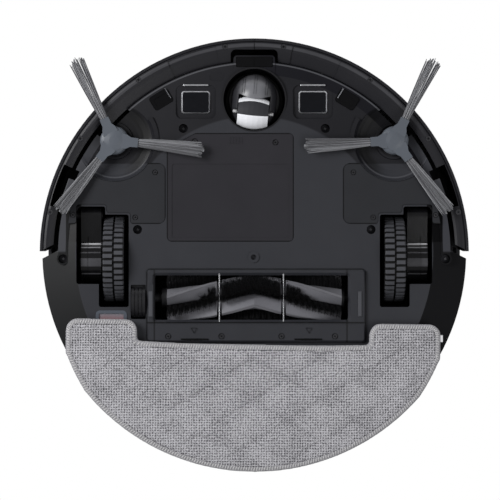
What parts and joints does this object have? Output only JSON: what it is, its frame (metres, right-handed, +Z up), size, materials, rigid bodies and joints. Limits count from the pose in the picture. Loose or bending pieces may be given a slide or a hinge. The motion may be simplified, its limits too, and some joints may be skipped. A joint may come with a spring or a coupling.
{
  "type": "robot vacuum",
  "caption": "Round robot vacuum and mop with a sprung bumper, swinging drive wheels, castor, side brushes, main brush in a guard, lidded bin, turret and a pull-out mop.",
  "frame": {"origin": "centre of the body's circle on the floor that the robot stands on", "axes": "+Z up, front with the bumper towards -Y, mop towards +Y, the robot's own left towards +X"},
  "size_m": [0.351, 0.3497, 0.094],
  "materials": {
    "chassis_grey": "fine matt texture",
    "cover_grey": "fine matt texture",
    "bumper_black": "satin",
    "gloss_black": "polished",
    "dome_grey": "polished",
    "tyre_rubber": "matt rubber",
    "hub_grey": "satin",
    "bristle_grey": "nylon strands",
    "bristle_black": "nylon strands",
    "blade_rubber": "soft satin rubber",
    "pad_cloth": "looped terry cloth",
    "white_plastic": "satin",
    "dark_plastic": "satin",
    "dark_steel": "blackened",
    "bright_steel": "polished",
    "contact_metal": "polished",
    "port_grey": "satin",
    "port_pink": "soft",
    "board_green": "solder mask",
    "cell_wrap": "metal cells in shrink wrap",
    "filter_paper": "pleated",
    "smoke_plastic": "polished"
  },
  "bodies": {
    "body": {"chassis": "chassis_grey", "body_shell": "bumper_black", "top_cover": "bumper_black", "bumper_springs": "bright_steel", "battery_cover": "cover_grey", "battery_pack": "cell_wrap", "left_motor_cover": "cover_grey", "right_motor_cover": "cover_grey", "cover_screws": "dark_steel", "recessed_screws": "dark_steel", "guard_screws": "dark_steel", "left_charging_contact": "contact_metal", "right_charging_contact": "contact_metal", "front_cliff_window": "gloss_black", "side_cliff_windows": "gloss_black", "castor_cup": "dark_plastic", "left_wheel_housing": "dark_plastic", "right_wheel_housing": "dark_plastic", "left_suspension_spring": "bright_steel", "right_suspension_spring": "bright_steel", "side_brush_motors": "dark_plastic", "brush_chamber": "dark_plastic", "brush_motor": "chassis_grey", "brush_guard": "chassis_grey", "guard_wires": "bright_steel", "dust_port_frame": "port_grey", "dust_port_membrane": "port_pink", "fan_housing": "dark_plastic", "turret_cover": "bumper_black", "dust_bin": "smoke_plastic", "bin_filter": "filter_paper", "main_board": "board_green"},
    "bumper": {"bumper_shell": "bumper_black", "bumper_lower_ring": "bumper_black", "bumper_screws": "dark_steel"},
    "left_arm": {"left_gearbox": "gloss_black"},
    "left_wheel": {"left_wheel_hub": "dark_plastic", "left_tyre": "tyre_rubber"},
    "right_arm": {"right_gearbox": "gloss_black"},
    "right_wheel": {"right_wheel_hub": "dark_plastic", "right_tyre": "tyre_rubber"},
    "castor_frame": {"castor_fork": "dome_grey", "castor_axle": "bright_steel"},
    "castor_roller": {"castor_wheel": "white_plastic", "castor_dark_bands": "dark_plastic"},
    "left_side_brush": {"left_brush_hub": "hub_grey", "left_brush_bristles": "bristle_grey"},
    "right_side_brush": {"right_brush_hub": "hub_grey", "right_brush_bristles": "bristle_grey"},
    "main_brush": {"main_brush_core": "blade_rubber", "main_brush_bristles": "bristle_black"},
    "fan_wheel": {"fan_impeller": "white_plastic"},
    "turret": {"turret_rotor": "gloss_black"},
    "lid": {"bin_lid": "bumper_black"},
    "power_button": {"start_button": "hub_grey"},
    "mop_module": {"water_tank": "smoke_plastic", "mop_plate": "dark_plastic", "mop_pad": "pad_cloth"},
    "tank_latch": {"tank_button": "hub_grey"}
  },
  "joints": [
    {"name": "bumper_press", "type": "slide", "parent": "body", "child": "bumper", "axis": [0, 1, 0], "range_m": [0, 0.003], "stiffness_N_per_m": 400, "springref_m": -0.002, "deforming": ["bumper_springs"]},
    {"name": "left_suspension", "type": "hinge", "parent": "body", "child": "left_arm", "pos_m": [0.134, -0.031, 0.024], "axis": [-1, 0, 0], "range_deg": [-4, 34], "stiffness_Nm_per_rad": 0.6, "springref_deg": 34.78, "deforming": ["left_suspension_spring"]},
    {"name": "right_suspension", "type": "hinge", "parent": "body", "child": "right_arm", "pos_m": [-0.134, -0.031, 0.024], "axis": [-1, 0, 0], "range_deg": [-4, 34], "stiffness_Nm_per_rad": 0.6, "springref_deg": 34.78, "deforming": ["right_suspension_spring"]},
    {"name": "left_wheel_spin", "type": "hinge", "parent": "left_arm", "child": "left_wheel", "pos_m": [0.115, 0.005, 0.035], "axis": [1, 0, 0], "continuous": true},
    {"name": "right_wheel_spin", "type": "hinge", "parent": "right_arm", "child": "right_wheel", "pos_m": [-0.115, 0.005, 0.035], "axis": [1, 0, 0], "continuous": true},
    {"name": "castor_swivel", "type": "hinge", "parent": "body", "child": "castor_frame", "pos_m": [0, -0.1254, 0.045], "axis": [0, 0, 1], "continuous": true},
    {"name": "castor_roll", "type": "hinge", "parent": "castor_frame", "child": "castor_roller", "pos_m": [-0.00103, -0.11465, 0.0136], "axis": [0.9954, 0.0958, 0], "continuous": true},
    {"name": "left_side_brush_spin", "type": "hinge", "parent": "body", "child": "left_side_brush", "pos_m": [0.1143, -0.0918, 0.02], "axis": [0, 0, 1], "continuous": true},
    {"name": "right_side_brush_spin", "type": "hinge", "parent": "body", "child": "right_side_brush", "pos_m": [-0.1143, -0.0918, 0.02], "axis": [0, 0, 1], "continuous": true},
    {"name": "main_brush_spin", "type": "hinge", "parent": "body", "child": "main_brush", "pos_m": [0, 0.0365, 0.022], "axis": [1, 0, 0], "continuous": true},
    {"name": "fan_spin", "type": "hinge", "parent": "body", "child": "fan_wheel", "pos_m": [0.112, 0.088, 0.05], "axis": [0, 0, 1], "continuous": true},
    {"name": "turret_spin", "type": "hinge", "parent": "body", "child": "turret", "pos_m": [0, -0.03, 0.075], "axis": [0, 0, 1], "continuous": true},
    {"name": "lid_hinge", "type": "hinge", "parent": "body", "child": "lid", "pos_m": [0, 0.025, 0.0779], "axis": [1, 0, 0], "range_deg": [0, 80]},
    {"name": "start_button_press", "type": "slide", "parent": "body", "child": "power_button", "axis": [0, 0, -1], "range_m": [0, 0.001], "stiffness_N_per_m": 300, "springref_m": -0.002},
    {"name": "mop_pull_out", "type": "slide", "parent": "body", "child": "mop_module", "axis": [0, 1, 0], "range_m": [0, 0.12]},
    {"name": "tank_button_press", "type": "slide", "parent": "mop_module", "child": "tank_latch", "axis": [0, -1, 0], "range_m": [0, 0.0025], "stiffness_N_per_m": 300, "springref_m": -0.003}
  ]
}
